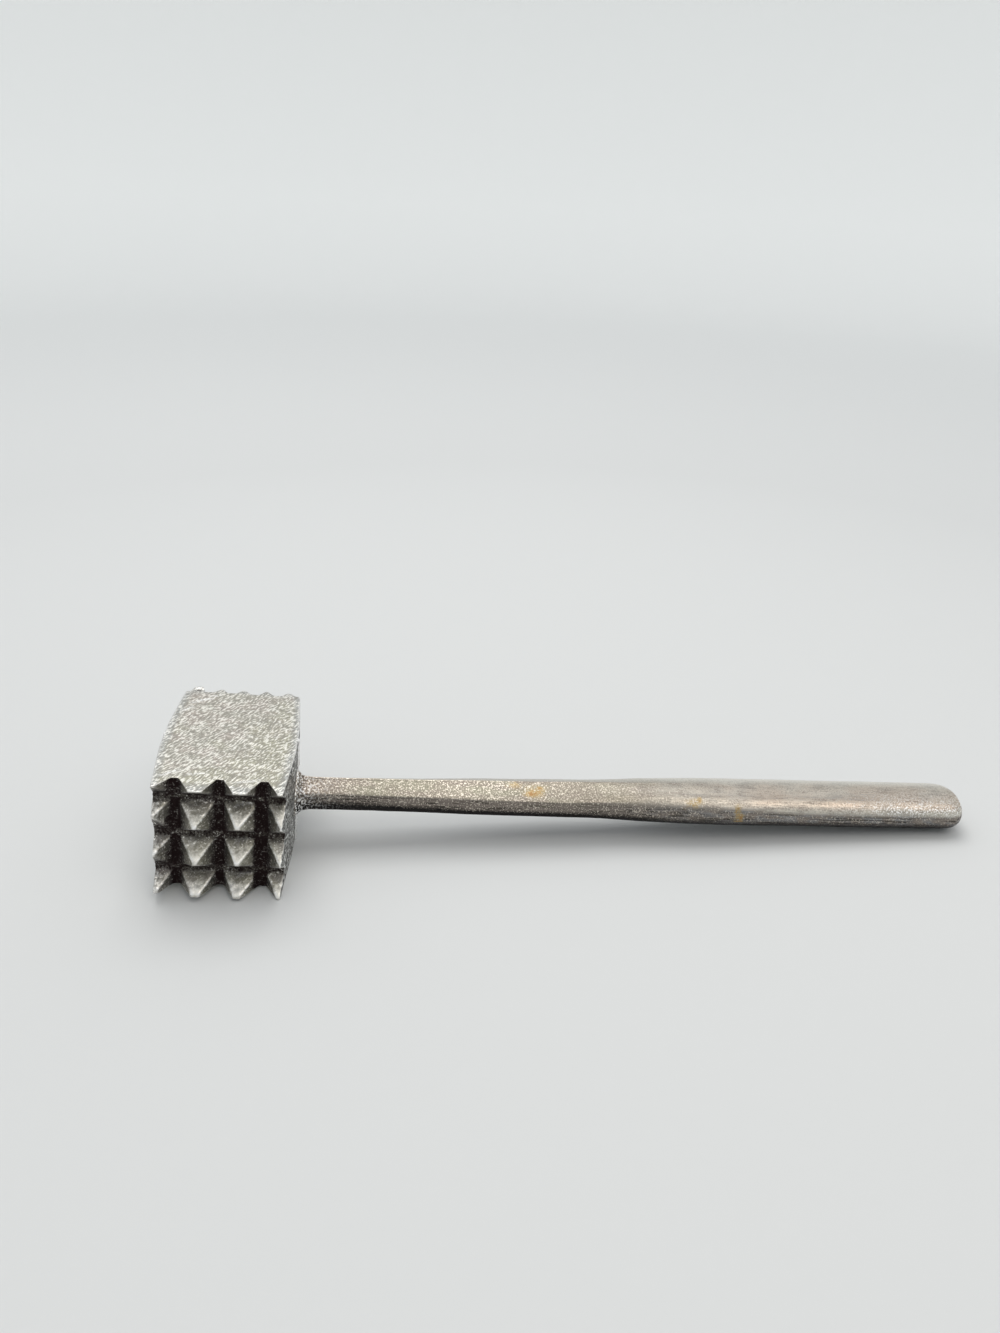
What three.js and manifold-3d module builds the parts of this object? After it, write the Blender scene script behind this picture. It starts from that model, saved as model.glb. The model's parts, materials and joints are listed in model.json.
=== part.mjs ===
// A two-sided meat tenderizer of cast aluminium: a block head with coarse teeth on its front and fine teeth
// on its back, and a one-piece handle whose tang is seated in a blind socket in the head.
// Millimetres, +Z up. The handle runs along +X, the coarse teeth face -Y and the fine teeth face +Y.
// It lies as it does on a table, on its head's lower edge beside the handle and on the handle's free end.
import * as THREE from "three";
import { mergeVertices } from "three/addons/utils/BufferGeometryUtils.js";
import Module from "manifold-3d";

const wasm = await Module();
wasm.setup();

// Head block
const headWidth = 38.4; // along the handle, at the striking faces
const headHeight = 39.3; // between the two flat sides
const headDepth = 66; // from the coarse tips to the fine tips
const endBulge = 1.9; // how far each end stands out at mid-depth, where the casting was split
const endLevel = 16; // level stretch at mid-depth, which the head lies on; the rest of each end is drafted

// Coarse face: its outer tips stand on all four edges, so the teeth there are half teeth
const coarse = {
  pitches: 3, // tip to tip steps across the face, both ways
  depth: 7,
  tipFlat: 2, // worn blunt
  floor: 2.2, // flat bottom of a groove
};

// Fine face: whole teeth across, and half teeth along its top and bottom edges
const fine = {
  pitches: 5,
  depth: 2.9,
  tipFlat: 0.9,
  floor: 3,
};

// Tang and socket
const tangLength = 22;
const tangRootRadius = 4.7; // hexagon's corner radius where it leaves the handle
const tangTipRadius = 3.9;
const fitGap = 0.3; // left all round the tang, and between the handle's shoulder and the head

// Handle, from its shoulder to its free end
const handleLength = 236.5;
const neckWidth = 10.4; // front to back, beside the head
const waistWidth = 15; // where the six flats start to fade
const gripWidth = 20.6;
const neckThickness = 12.4; // top to bottom
const gripThickness = 14.1;
const flatHeight = 5.9; // height of the upright front and back flats of the neck
const waistFrom = 10; // distances from the shoulder between which the neck widens to the waist
const waistTo = 90;
const gripFrom = 95; // and between which the waist grows into the grip
const gripTo = 150;
const ovalFrom = 88; // and between which the six flats fade into the grip's oval
const ovalTo = 123;
const neckRoundness = 0.15; // 0 is a sharp hexagon, 1 is an ellipse
const flareHeight = 1.7; // the small fillet where the handle meets the head
const flareLength = 6;
const endRoundFar = 11; // rounding of the free end at the back, at the front, and top to bottom
const endRoundNear = 6;
const endRoundThick = 7;
const endFlat = 0.3; // share of the width that is left flat at the very end
const rootDrop = 0.9; // the handle leaves the head this far below its middle
const handleRise = 7.1; // and climbs by this much to its free end, against the head's own square

const facetsAround = 24; // a multiple of 12, so that points stand on the six corners
const overcut = 2; // how far a cutter runs past the surface it opens

const { lerp, smoothstep } = THREE.MathUtils;
const shoulderX = headWidth / 2 + endBulge + fitGap;

// A closed three.js geometry as a solid that can be cut and joined
function toSolid(geometry) {
  geometry.deleteAttribute("normal");
  geometry.deleteAttribute("uv");
  const merged = mergeVertices(geometry, 1e-4);
  return new wasm.Manifold(
    new wasm.Mesh({
      numProp: 3,
      vertProperties: merged.getAttribute("position").array,
      triVerts: new Uint32Array(merged.index.array),
    }),
  );
}

function toGeometry(solid) {
  const { vertProperties, triVerts } = solid.getMesh();
  const indexed = new THREE.BufferGeometry();
  indexed.setAttribute("position", new THREE.BufferAttribute(vertProperties, 3));
  indexed.setIndex(new THREE.BufferAttribute(triVerts, 1));
  const faceted = indexed.toNonIndexed();
  faceted.computeVertexNormals();
  return faceted;
}

// Head: seen from above, a rectangle whose ends stand out at mid-depth, with a draft to each face
function headBlock() {
  const w = headWidth / 2;
  const d = headDepth / 2;
  const outer = w + endBulge;
  const level = endLevel / 2;
  const outline = new THREE.Shape();
  outline.moveTo(-w, -d);
  outline.lineTo(w, -d);
  outline.lineTo(outer, -level);
  outline.lineTo(outer, level);
  outline.lineTo(w, d);
  outline.lineTo(-w, d);
  outline.lineTo(-outer, level);
  outline.lineTo(-outer, -level);
  outline.closePath();
  const block = new THREE.ExtrudeGeometry(outline, { depth: headHeight, bevelEnabled: false });
  block.translate(0, 0, -headHeight / 2);
  return toSolid(block);
}

// One groove of the front face, upright, in the middle of the face
function grooveCutter(teeth, pitch, run) {
  const mouth = pitch - teeth.tipFlat;
  const spread = (mouth - teeth.floor) / 2 / teeth.depth;
  const outerHalf = mouth / 2 + spread * overcut;
  const tipsY = -headDepth / 2;
  const profile = new THREE.Shape();
  profile.moveTo(teeth.floor / 2, tipsY + teeth.depth);
  profile.lineTo(-teeth.floor / 2, tipsY + teeth.depth);
  profile.lineTo(-outerHalf, tipsY - overcut);
  profile.lineTo(outerHalf, tipsY - overcut);
  profile.closePath();
  const groove = new THREE.ExtrudeGeometry(profile, { depth: run, bevelEnabled: false });
  groove.translate(0, 0, -run / 2);
  return groove;
}

// Grooves lie half a pitch from the tips: with tips on the edges there is one groove in each pitch,
// and with whole teeth there is one groove at each pitch line, the two edges included
function groovePlaces(teeth, pitch, tipsOnEdges) {
  const count = tipsOnEdges ? teeth.pitches : teeth.pitches + 1;
  return Array.from({ length: count }, (_, i) => (i - (count - 1) / 2) * pitch);
}

function toothGrooves(teeth, tipsOnEndEdges, facesBack) {
  const turn = facesBack ? Math.PI : 0;
  const pitchX = headWidth / teeth.pitches;
  const pitchZ = headHeight / teeth.pitches;
  const upright = groovePlaces(teeth, pitchX, tipsOnEndEdges).map((x) =>
    grooveCutter(teeth, pitchX, headHeight + 2 * overcut)
      .translate(x, 0, 0)
      .rotateZ(turn),
  );
  const level = groovePlaces(teeth, pitchZ, true).map((z) =>
    grooveCutter(teeth, pitchZ, headWidth + 2 * endBulge + 2 * overcut)
      .rotateY(Math.PI / 2)
      .translate(0, 0, z)
      .rotateZ(turn),
  );
  return [...upright, ...level];
}

// Tang: a tapered hexagon with one corner up, from x = 0 at its wide end towards -X
function taperedHexagon(rootRadius, tipRadius, length) {
  const hexagon = new THREE.CylinderGeometry(rootRadius, tipRadius, length, 6);
  hexagon.rotateY(Math.PI / 2);
  hexagon.rotateZ(-Math.PI / 2);
  hexagon.translate(-length / 2, 0, 0);
  return hexagon;
}

// Socket: the same hexagon, larger by the gap on its flats and at its floor, and open past the head's end
function socketCutter() {
  const cornerGap = fitGap / Math.cos(Math.PI / 6);
  const taper = (tangRootRadius - tangTipRadius) / tangLength;
  const socket = taperedHexagon(
    tangRootRadius + cornerGap + taper * overcut,
    tangTipRadius + cornerGap - taper * fitGap,
    tangLength + fitGap + overcut,
  );
  return socket.translate(shoulderX + overcut, 0, -rootDrop);
}

function buildHead() {
  let head = headBlock();
  const cutters = [
    ...toothGrooves(coarse, true, false),
    ...toothGrooves(fine, false, true),
    socketCutter(),
  ];
  for (const cutter of cutters) head = head.subtract(toSolid(cutter));
  return head;
}

// Handle sizes at the distance s from its shoulder
function flareAt(s) {
  return flareHeight * Math.max(0, 1 - s / flareLength) ** 3;
}

function halfWidthAt(s) {
  const neckToWaist = lerp(neckWidth, waistWidth, smoothstep(s, waistFrom, waistTo));
  return (neckToWaist + (gripWidth - waistWidth) * smoothstep(s, gripFrom, gripTo)) / 2;
}

function halfThicknessAt(s) {
  return lerp(neckThickness, gripThickness, smoothstep(s, waistFrom, gripTo)) / 2;
}

function roundnessAt(s) {
  return lerp(neckRoundness, 1, smoothstep(s, ovalFrom, ovalTo));
}

function centreHeightAt(s) {
  return -rootDrop + (handleRise * s) / handleLength;
}

// 1 along the handle, falling over the last stretch to the share that stays flat
function endRounding(s, radius) {
  const t = Math.max(0, (s - (handleLength - radius)) / radius);
  return lerp(endFlat, 1, Math.sqrt(1 - t * t));
}

// A point of the handle's section, at an angle that turns from +Y towards +Z
function sectionPoint(s, angle) {
  const a = halfWidthAt(s) + flareAt(s);
  const b = halfThicknessAt(s) + flareAt(s);
  const e = (flatHeight + flareAt(s)) / 2;
  const corners = [[a, e], [0, b], [-a, e], [-a, -e], [0, -b], [a, -e]];
  const side = (THREE.MathUtils.radToDeg(angle) - 30 + 360) / 60;
  const from = corners[Math.floor(side) % 6];
  const to = corners[(Math.floor(side) + 1) % 6];
  const along = side - Math.floor(side);
  const round = roundnessAt(s);
  const y = lerp(lerp(from[0], to[0], along), a * Math.cos(angle), round);
  const z = lerp(lerp(from[1], to[1], along), b * Math.sin(angle), round);
  return [
    y * endRounding(s, y > 0 ? endRoundFar : endRoundNear),
    z * endRounding(s, endRoundThick),
  ];
}

// Distances from the shoulder at which a section stands: close on the flare and at the free end
function handleStations() {
  const flareSteps = 5;
  const barSteps = 26;
  const endSteps = 9;
  const endFrom = handleLength - endRoundFar;
  const stations = [];
  for (let i = 0; i < flareSteps; i++) stations.push((flareLength * i) / flareSteps);
  for (let i = 0; i < barSteps; i++) stations.push(lerp(flareLength, endFrom, i / barSteps));
  for (let i = 0; i <= endSteps; i++) {
    stations.push(endFrom + endRoundFar * Math.sin((Math.PI / 2) * (i / endSteps)));
  }
  return stations;
}

// Handle bar: a unit cylinder whose rings are moved onto the sections
function handleBar(stations) {
  const rings = stations.length - 1;
  const bar = new THREE.CylinderGeometry(1, 1, 1, facetsAround, rings);
  const position = bar.getAttribute("position");
  for (let i = 0; i < position.count; i++) {
    const onRim = Math.hypot(position.getX(i), position.getZ(i)) > 0.5;
    const turned = Math.atan2(position.getX(i), position.getZ(i));
    const stepAngle = (2 * Math.PI) / facetsAround;
    const angle = (Math.round(turned / stepAngle + facetsAround) % facetsAround) * stepAngle;
    const s = stations[Math.round((position.getY(i) + 0.5) * rings)];
    const [y, z] = onRim ? sectionPoint(s, angle) : [0, 0];
    position.setXYZ(i, shoulderX + s, y, z + centreHeightAt(s));
  }
  return bar;
}

function buildHandle(stations) {
  const intoBar = 1;
  const tang = taperedHexagon(tangRootRadius, tangTipRadius, tangLength + intoBar);
  tang.translate(shoulderX + intoBar, 0, -rootDrop);
  return toSolid(handleBar(stations)).add(toSolid(tang));
}

// The whole tool in the head's own square, then turned until the handle's underside meets the surface
const stations = handleStations();

const head = new THREE.Mesh(
  toGeometry(buildHead()),
  new THREE.MeshStandardMaterial({ color: 0x8f8c87, roughness: 0.5, metalness: 0.9 }),
);
head.name = "head";

const handle = new THREE.Mesh(
  toGeometry(buildHandle(stations)),
  new THREE.MeshStandardMaterial({ color: 0x857a70, roughness: 0.45, metalness: 0.9 }),
);
handle.name = "handle";

const edgeX = headWidth / 2 + endBulge;
const restTilt = Math.min(
  ...stations.map((s) => {
    const underside = centreHeightAt(s) - halfThicknessAt(s) * endRounding(s, endRoundThick);
    return Math.atan2(underside + headHeight / 2, shoulderX + s - edgeX);
  }),
);

const tool = new THREE.Group();
tool.add(head, handle);
tool.rotation.y = restTilt;

// Origin under the middle of the tool, on the surface it lies on
const box = new THREE.Box3().setFromObject(tool, true);
const middle = box.getCenter(new THREE.Vector3());
tool.position.set(-middle.x, -middle.y, -box.min.z);

const meatTenderizer = new THREE.Group();
meatTenderizer.add(tool);

export default meatTenderizer;
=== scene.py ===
import itertools
import json
import math

import bpy
import numpy as np
from mathutils import Matrix, Vector


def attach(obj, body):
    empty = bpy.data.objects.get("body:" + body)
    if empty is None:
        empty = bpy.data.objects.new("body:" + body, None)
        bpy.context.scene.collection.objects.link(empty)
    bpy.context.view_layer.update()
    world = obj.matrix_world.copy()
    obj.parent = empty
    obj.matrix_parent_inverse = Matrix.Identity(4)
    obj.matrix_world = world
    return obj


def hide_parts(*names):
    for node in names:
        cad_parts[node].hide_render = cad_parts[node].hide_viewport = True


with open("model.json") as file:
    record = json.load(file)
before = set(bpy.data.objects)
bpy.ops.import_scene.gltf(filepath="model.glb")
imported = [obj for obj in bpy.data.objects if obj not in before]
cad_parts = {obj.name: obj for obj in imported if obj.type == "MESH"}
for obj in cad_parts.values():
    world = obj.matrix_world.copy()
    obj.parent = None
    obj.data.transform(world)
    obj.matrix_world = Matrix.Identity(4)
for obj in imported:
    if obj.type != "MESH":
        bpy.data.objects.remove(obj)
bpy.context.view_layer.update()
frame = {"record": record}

# How the tool lies
# It rests on the lower edge of its head and on the handle's free end, so everything leans a little
# towards the handle. Both pieces are shaped in the head's own square, in millimetres, and then laid down.
flat_sides = {mount["name"]: mount for mount in frame["record"]["mounts"]}
upper_side = flat_sides["upper_side"]
lower_side = flat_sides["lower_side"]
head_middle = (Vector(upper_side["pos_m"]) + Vector(lower_side["pos_m"])) / 2
lean_angle = math.atan2(upper_side["axis"][0], upper_side["axis"][2])
lean = Matrix.Rotation(lean_angle, 3, "Y")


def laid_down(square_points):
    """Points of the head's own square, in millimetres, where they lie on the floor, in metres."""
    return square_points / 1000 @ np.array(lean).T + np.array(head_middle)


# Head
# A solid block of cast aluminium with coarse pyramid teeth on its front and fine ones on its back. It was
# cast in two halves that met at mid-depth, so its ends are drafted both ways and carry a line of flash.
head_width = 38.4
head_height = 39.3
head_depth = 66.0
end_bulge = 1.9
end_level = 16.0
end_softness = 0.12
flash_height = 0.7
flash_width = 0.6
flash_wander = 0.35

coarse_steps = 3
coarse_depth = 7.0
coarse_floor = 2.2

fine_steps = 5
fine_depth = 3.4
fine_floor = 3.0
fine_tip = 0.9
fine_wear = 0.85
fine_wear_spread = 0.3

ridge_rounding = 0.2
tip_rounding = 0.35
groove_rounding = 0.5

cells_across = 112
cells_deep = 146
cells_high = 114

# Worn coarse tips, as (column, row): how far each lies to the right, up and back, and half of its blunt
# width and height
worn_tips = {
    (0, 0): (0.1, 0.0, 2.0, 0.7, 0.5),
    (1, 0): (0.0, 0.0, 0.2, 1.9, 0.5),
    (2, 0): (0.1, 0.0, 0.2, 1.9, 0.6),
    (3, 0): (0.2, 0.0, 0.3, 1.7, 0.6),
    (0, 1): (0.3, 2.1, 1.9, 0.4, 0.5),
    (1, 1): (-0.3, -0.2, 0.1, 0.4, 0.4),
    (2, 1): (-0.5, 0.2, 0.1, 0.5, 0.4),
    (3, 1): (0.0, 0.3, 0.2, 0.4, 0.4),
    (0, 2): (0.1, 1.4, 1.4, 0.4, 0.5),
    (1, 2): (-0.2, -0.5, 0.1, 0.4, 0.4),
    (2, 2): (-0.45, 0.1, 0.0, 0.55, 0.4),
    (3, 2): (0.0, -0.2, 0.2, 0.45, 0.4),
    (0, 3): (0.6, 1.1, 1.1, 0.6, 0.5),
    (1, 3): (-0.3, 0.1, 0.3, 1.2, 1.0),
    (2, 3): (-0.5, 0.1, 0.1, 1.1, 1.0),
    (3, 3): (-0.2, 0.1, 0.3, 0.8, 0.8),
}

# How far the fine tips of the top edge have worn back, from the left; the first has a burr folded up on it
top_fine_wear = (0.35, 1.1, 1.0, 0.75, 1.3)
burr_half_width = 1.5
burr_height = 0.3
burr_foot = 18.4
burr_crown = 19.4
lip_front = 31.2
lip_back = 32.0
hollow_middle = 30.6
hollow_half_width = 0.5
hollow_depth = 0.3

# Heights of the casting's grain, its ripples and long swells, and of the dents and chips in the teeth
grain_height = 0.035
end_grain_height = 0.30
ripple_height = 0.03
swell_height = 0.10
dent_height = 0.07
chip_height = 0.20

# Where the coarse teeth end, where their left edge is chipped, and the furrows before and behind the flash,
# each as its middle and half its width
teeth_whole = -26.5
teeth_end = -25.0
chips_across = -19.5
chips_half_width = 4.0
front_furrow = (-2.8, 1.9)
back_furrow = (1.6, 0.9)

# How far a place stands proud where wear begins and where it is bright, and the widths of worn edges and
# of the cooler borders, across and deep
worn_from = 0.035
worn_bright = 0.14
bright_edge_width = 0.45
border_across = 3.5
border_deep = 6.5

# Old dirt and a painted shadow: how far left of a groove they start in the left and the right half, and how
# black they are
dirt_starts_left = -2.4
dirt_starts_right = -3.4
dirt_softness = 1.3
level_blackness = 0.74
fine_blackness = 0.62
fine_face_soil = 0.7

# Whitish scuffs on the upper side: where each starts and ends, right and back of the middle, then half
# its width
scuffs = (
    (-15.9, 21.6, -11.7, 24.3, 0.7),
    (-13.5, 23.8, -9.8, 24.6, 0.5),
    (-10.3, 26.3, -7.8, 27.5, 0.5),
    (-17.8, 15.5, -15.8, 18.5, 0.5),
    (5.2, -27.0, 11.6, -25.2, 0.5),
    (-17.5, -24.5, -13.0, -21.5, 0.5),
    (-9.8, -24.0, -4.6, -22.5, 0.4),
    (-1.5, -29.0, 4.0, -29.8, 0.5),
)


def rounded_larger(a, b, rounding):
    """The larger of two heights, with the crease between them rounded."""
    share = np.clip(0.5 + 0.5 * (a - b) / rounding, 0, 1)
    return b + (a - b) * share + rounding * share * (1 - share)


def rounded_smaller(a, b, rounding):
    """The smaller of two heights, with the crease between them rounded."""
    return -rounded_larger(-a, -b, rounding)


def toothed_face(across, up, teeth, deepest):
    """How far behind the plane of its sharp tips a toothed face lies at each point.

    A tooth is the middle and half width of its foot, its blunt tip, and how far back that tip has worn.
    """
    below = np.full(len(across), float(deepest))
    for foot, foot_half, tip, tip_half, back in teeth:
        sides = []
        for here, axis in ((across, 0), (up, 1)):
            for way in (1, -1):
                from_tip = way * (here - tip[axis]) - tip_half[axis]
                run = foot_half[axis] - way * (tip[axis] - foot[axis]) - tip_half[axis]
                sides.append(from_tip * (deepest - back) / run)
        side = np.maximum(sides[0], sides[1])
        rise = np.maximum(sides[2], sides[3])
        pyramid = rounded_larger(side, rise, ridge_rounding)
        pyramid = back + rounded_larger(pyramid, np.zeros_like(pyramid), tip_rounding)
        below = rounded_smaller(below, pyramid, groove_rounding)
    return below


def coarse_teeth():
    """The front face: four tips each way, the outer ones on the head's edges."""
    pitch = (head_width / coarse_steps, head_height / coarse_steps)
    foot_half = [(step - coarse_floor) / 2 for step in pitch]
    teeth = []
    for (column, row), (right, raised, back, *tip_half) in worn_tips.items():
        foot = ((column - coarse_steps / 2) * pitch[0], (coarse_steps / 2 - row) * pitch[1])
        tip = (foot[0] + right, foot[1] + raised)
        teeth.append((foot, foot_half, tip, tip_half, back))
    return teeth


def fine_teeth():
    """The back face: five whole teeth across, and tips on its top and bottom edges."""
    pitch = (head_width / fine_steps, head_height / fine_steps)
    foot_half = [(step - fine_floor) / 2 for step in pitch]
    teeth = []
    for column, row in itertools.product(range(fine_steps), range(fine_steps + 1)):
        foot = ((column - (fine_steps - 1) / 2) * pitch[0], (row - fine_steps / 2) * pitch[1])
        back = fine_wear + fine_wear_spread * math.sin(2.4 * column + 1.7 * row)
        if row == fine_steps:
            back = top_fine_wear[column]
        tip_half = (fine_tip / 2, fine_tip / 2)
        if (column, row) == (0, fine_steps):
            tip_half = (burr_half_width, fine_tip / 2)
        teeth.append((foot, foot_half, foot, tip_half, back))
    return teeth


def end_stands_out(deep):
    """How far the head's ends stand out at each depth: drafted from both faces to a level stretch."""
    drafted = (head_depth / 2 - np.abs(deep)) / (head_depth / 2 - end_level / 2)
    return end_bulge * rounded_smaller(drafted, np.ones_like(drafted), end_softness)


def shell_of_cells(cells_x, cells_y, cells_z):
    """The points on the outside of a block of cells, and the quads that join them, facing out."""
    number = np.zeros((cells_x + 1, cells_y + 1, cells_z + 1), int)
    outside = np.zeros(number.shape, bool)
    outside[[0, -1], :, :] = True
    outside[:, [0, -1], :] = True
    outside[:, :, [0, -1]] = True
    number[outside] = np.arange(outside.sum())
    sheets = (
        (number[-1], False),
        (number[0], True),
        (number[:, 0], False),
        (number[:, -1], True),
        (number[:, :, -1], False),
        (number[:, :, 0], True),
    )
    quads = []
    for sheet, turned in sheets:
        corners = (sheet[:-1, :-1], sheet[1:, :-1], sheet[1:, 1:], sheet[:-1, 1:])
        quad = np.stack([corner.ravel() for corner in corners], 1)
        quads.append(quad[:, ::-1] if turned else quad)
    return np.argwhere(outside), np.vstack(quads)


def edges_of(quads):
    """Each pair of points that a quad joins, once."""
    pairs = np.vstack([quads[:, [i, (i + 1) % 4]] for i in range(4)])
    return np.unique(np.sort(pairs, 1), axis=0)


def eased(points, edges, passes):
    """The points drawn towards their neighbours, as casting and wear round an edge."""
    count = np.bincount(edges.ravel(), minlength=len(points))[:, None]
    for _ in range(passes):
        total = np.zeros_like(points)
        for axis in range(points.shape[1]):
            for here, there in ((0, 1), (1, 0)):
                near = points[edges[:, there], axis]
                total[:, axis] += np.bincount(edges[:, here], near, len(points))
        points = points + 0.5 * (total / count - points)
    return points


def outward(points, quads):
    """The direction that each point of a closed skin faces."""
    first = points[quads[:, 2]] - points[quads[:, 0]]
    second = points[quads[:, 3]] - points[quads[:, 1]]
    facing = np.cross(first, second)
    normals = np.zeros_like(points)
    for axis in range(3):
        for corner in range(4):
            normals[:, axis] += np.bincount(quads[:, corner], facing[:, axis], len(points))
    return normals / np.maximum(np.linalg.norm(normals, axis=1, keepdims=True), 1e-9)


def lumps(points, size, seed):
    """Smooth unevenness in space, from -1 to 1, its lumps about as wide as the size.

    Each corner of a grid gets a height of its own from the digits of its place, and the rest lies between.
    """
    askew = np.array(Matrix.Rotation(0.7, 3, "X") @ Matrix.Rotation(0.5, 3, "Y"))
    scaled = points @ askew / size
    cell = np.floor(scaled).astype(np.int64)
    part = scaled - cell
    part = part * part * (3 - 2 * part)
    total = np.zeros(len(points))
    for corner in itertools.product((0, 1), repeat=3):
        at = cell + corner
        mixed = at[:, 0] * 374761393 + at[:, 1] * 668265263 + at[:, 2] * 1440662683 + seed * 974634777
        mixed = mixed & 0xFFFFFFFF
        mixed = (mixed ^ (mixed >> 13)) * 1274126177 & 0xFFFFFFFF
        mixed = mixed ^ (mixed >> 16)
        share = np.prod(np.where(corner, part, 1 - part), axis=1)
        total += share * ((mixed & 0xFFFFFF) / 0x7FFFFF - 1)
    return total


def smooth_step(value, start, stop):
    """From 0 to 1 between two values, level at both ends."""
    share = np.clip((value - start) / (stop - start), 0, 1)
    return share * share * (3 - 2 * share)


def ridge(value, middle, half_width):
    """From 1 at the middle, falling away on both sides like a soft ridge."""
    return np.exp(-(((value - middle) / half_width) ** 2))


def stands_proud(points, quads, edges, passes):
    """How far each point stands out from the skin eased over its neighbours."""
    broad = eased(points, edges, passes)
    return np.sum((points - broad) * outward(broad, quads), 1)


def metal_skin(name, points, quads, **traits):
    """A closed piece of metal with smooth shading and its traits kept at its points."""
    mesh = bpy.data.meshes.new(name)
    mesh.from_pydata(laid_down(points).tolist(), [], quads.tolist())
    mesh.shade_smooth()
    for trait, values in traits.items():
        kept = mesh.attributes.new(trait, "FLOAT", "POINT")
        kept.data.foreach_set("value", values.astype(np.float32))
    piece = bpy.data.objects.new(name, mesh)
    bpy.context.scene.collection.objects.link(piece)
    return piece


lattice, head_quads = shell_of_cells(cells_across, cells_deep, cells_high)
head_edges = edges_of(head_quads)
side_share = lattice[:, 0] / cells_across * 2 - 1
back_share = lattice[:, 1] / cells_deep
up_share = lattice[:, 2] / cells_high * 2 - 1
flat_across = side_share * head_width / 2
flat_up = up_share * head_height / 2
coarse_below = toothed_face(flat_across, flat_up, coarse_teeth(), coarse_depth)
fine_below = toothed_face(flat_across, flat_up, fine_teeth(), fine_depth)
front_face = -head_depth / 2 + coarse_below
back_face = head_depth / 2 - fine_below
deep = front_face + (back_face - front_face) * back_share
head_across = side_share * (head_width / 2 + end_stands_out(deep))
head_points = eased(np.stack([head_across, deep, flat_up], 1), head_edges, 1)

# Flash on both ends, where the two halves of the mould met
on_end = np.abs(side_share) == 1
flash_runs = 1 + 0.5 * lumps(head_points, 2.2, 3)
flash_line = flash_wander * lumps(head_points * (0, 0, 1), 9.0, 5)
on_flash = ridge(deep, flash_line, flash_width)
flash = flash_height * flash_runs * on_flash
head_points[:, 0] += np.where(on_end, np.sign(side_share) * flash, 0)

# The burr folded up along the first fine tip of the top edge, with a hollow in front of it
burr_across = -2 * head_width / fine_steps
burr_reach = np.exp(-(((head_points[:, 0] - burr_across) / burr_half_width) ** 4))
burr_reach = burr_reach * smooth_step(head_points[:, 2], burr_foot, burr_crown)
lip = smooth_step(head_points[:, 1], lip_front, lip_back)
hollow = ridge(head_points[:, 1], hollow_middle, hollow_half_width)
head_points[:, 2] += burr_reach * (burr_height * lip - hollow_depth * hollow)

# Grain of the casting, coarsest on the right end and none at the foot of the flash, and the hollows and
# bruises of long use, with chips out of the left edge of the coarse teeth
head_facing = outward(head_points, head_quads)
end_share = smooth_step(np.abs(head_facing[:, 0]), 0.45, 0.85) * smooth_step(np.abs(side_share), 0.8, 1)
end_rough = end_share * smooth_step(head_height / 2 - np.abs(flat_up), 0.3, 2.2)
end_rough *= np.where(side_share > 0, 1 - 0.5 * smooth_step(deep, 0, 8), 0.4)
in_teeth = 1 - smooth_step(head_points[:, 1], teeth_whole, teeth_end)
chipped = ridge(head_points[:, 0], chips_across, chips_half_width) * smooth_step(head_points[:, 2], 17, 13)
chipped *= in_teeth
behind = deep - flash_line
flash_foot = np.where(behind < 0, ridge(behind, *front_furrow), ridge(behind, *back_furrow))
end_grain = 0.7 * lumps(head_points * (1, 0.7, 1), 0.6, 19) + 0.5 * lumps(head_points, 1.3, 17)
relief = grain_height * lumps(head_points, 0.9, 11)
relief += end_grain_height * end_rough * (1 - 0.8 * flash_foot) * end_grain
relief += ripple_height * lumps(head_points, 1.6, 13)
relief += swell_height * (1 - in_teeth) * (1 - end_share) * lumps(head_points, 6.0, 23)
relief += dent_height * in_teeth * lumps(head_points, 2.0, 29)
relief += chip_height * chipped * lumps(head_points, 1.1, 31)
head_points = head_points + relief[:, None] * head_facing

# Where the skin has worn bright, and how deep in the grooves it is
proud = stands_proud(head_points, head_quads, head_edges, 4)
edge_wear = smooth_step(proud, worn_from, worn_bright)
groove_depth = np.zeros(len(head_points))
groove_depth = np.where(back_share == 0, coarse_below / coarse_depth, groove_depth)
groove_depth = np.where(back_share == 1, 0.8 * fine_below / fine_depth, groove_depth)
groove_depth = np.clip(eased(groove_depth[:, None], head_edges, 2)[:, 0], 0, 1)
toothed = np.where(back_share == 0, 1.0, fine_face_soil * (back_share == 1))
toothed = toothed * (1 - smooth_step(np.abs(up_share), 0.985, 1))

# Old dirt fills the grooves, blackest in those that run up the face; a painted shadow lies over their left
# sides and painted shade in the bands under each row
coarse_pitch = head_width / coarse_steps
coarse_rise = head_height / coarse_steps
from_groove = (flat_across + head_width / 2) % coarse_pitch - coarse_pitch / 2
above_groove = (flat_up + head_height / 2) % coarse_rise - coarse_rise / 2
sagging = above_groove + 0.35 * lumps(head_points, 4.5, 37)
dirt_start = np.where(flat_across > coarse_pitch / 2, dirt_starts_right, dirt_starts_left)
upright_dirt = smooth_step(from_groove, dirt_start, dirt_start + dirt_softness)
upright_dirt *= smooth_step(from_groove, 2.1, 1.0)
upright_dirt *= smooth_step(groove_depth, 0.4, 0.75) * (1 - 0.3 * ridge(above_groove, 0.4, 1.0))
level_dirt = level_blackness * smooth_step(sagging, -2.1, -0.8) * smooth_step(groove_depth, 0.55, 0.8)
fine_dirt = fine_blackness * smooth_step(groove_depth, 0.55, 0.8)
dirty = (back_share == 0) * np.maximum(upright_dirt, level_dirt) + (back_share == 1) * fine_dirt
# Painted shadow in the hollow in front of the burr
dirty = np.maximum(dirty, 0.9 * burr_reach * hollow)
dirty = np.clip(eased(dirty[:, None], head_edges, 1)[:, 0], 0, 1)
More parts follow.
